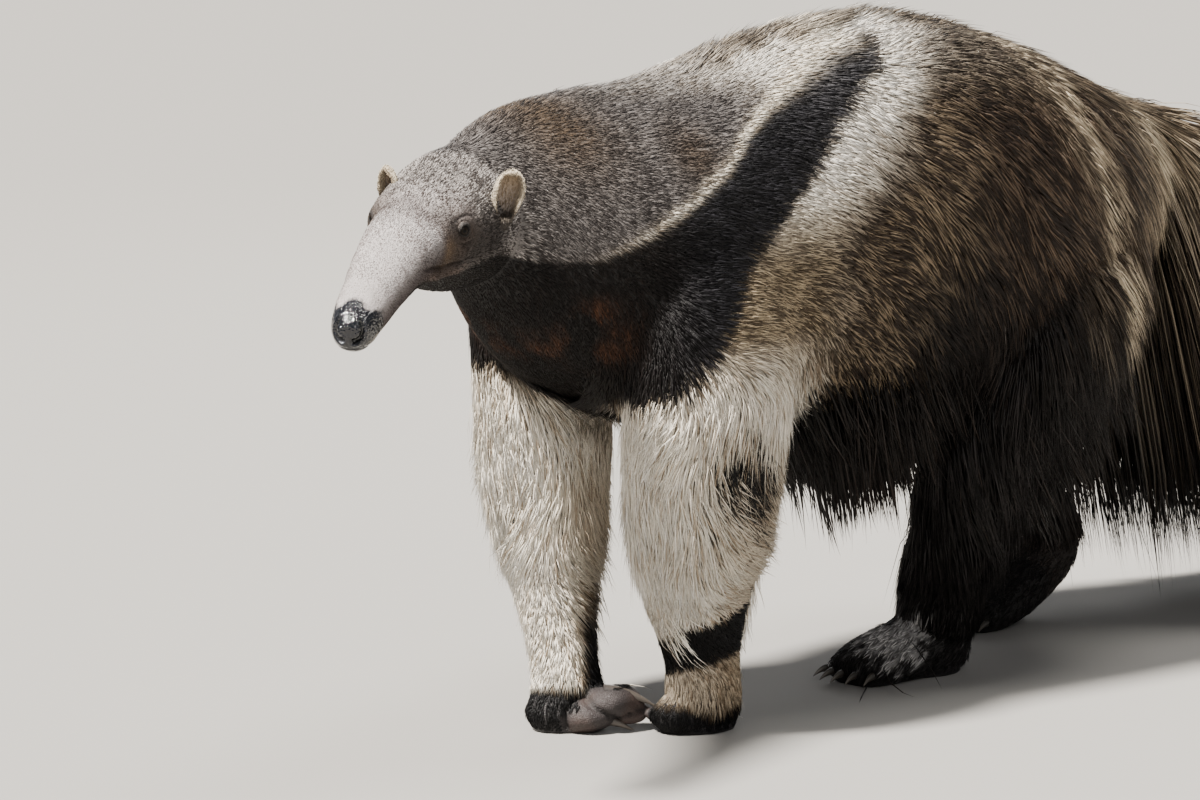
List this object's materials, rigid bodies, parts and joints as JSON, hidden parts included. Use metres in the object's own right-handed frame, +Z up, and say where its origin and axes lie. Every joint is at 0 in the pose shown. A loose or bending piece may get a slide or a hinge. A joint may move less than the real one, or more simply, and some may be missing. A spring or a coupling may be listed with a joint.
{
  "type": "giant anteater",
  "caption": "Life-size still giant anteater in mid-step: long tubular head turned aside, shaggy forelegs, arched back with a crest and a deep brush of a tail.",
  "frame": {"origin": "on the floor, under the middle of the animal's bounding box", "axes": "+Z up; the face looks towards -Y and the tail runs back along +Y; the animal's left side is at +X"},
  "size_m": [0.3992, 2.1135, 0.6844],
  "materials": {
    "coat_grizzled": "coarse grizzled brown hair with silver tips, matt",
    "coat_dark": "long black-brown hair, faint sheen",
    "coat_pale": "cream and buff long hair, matt",
    "coat_face": "very short pale grey face hair over skin",
    "nose_skin": "moist black pebbled skin",
    "ear_skin": "thin skin with short pale hair",
    "eyeball": "wet and glossy, dark brown",
    "claw_horn": "dark horn, worn smooth"
  },
  "bodies": {
    "root": {"head": "coat_face", "nose": "nose_skin", "ear_left": "ear_skin", "ear_right": "ear_skin", "eye_left": "eyeball", "eye_right": "eyeball", "neck": "coat_grizzled", "torso": "coat_grizzled", "tail_base": "coat_grizzled", "tail_middle": "coat_grizzled", "tail_tip": "coat_grizzled", "foreleg_left": "coat_pale", "foreleg_right": "coat_pale", "hindleg_left": "coat_dark", "hindleg_right": "coat_dark", "foreclaw_left_1": "claw_horn", "foreclaw_left_2": "claw_horn", "foreclaw_right_1": "claw_horn", "foreclaw_right_2": "claw_horn", "hindclaw_left_1": "claw_horn", "hindclaw_left_2": "claw_horn", "hindclaw_left_3": "claw_horn", "hindclaw_left_4": "claw_horn", "hindclaw_left_5": "claw_horn", "hindclaw_right_1": "claw_horn", "hindclaw_right_2": "claw_horn", "hindclaw_right_3": "claw_horn", "hindclaw_right_4": "claw_horn", "hindclaw_right_5": "claw_horn"}
  },
  "joints": []
}
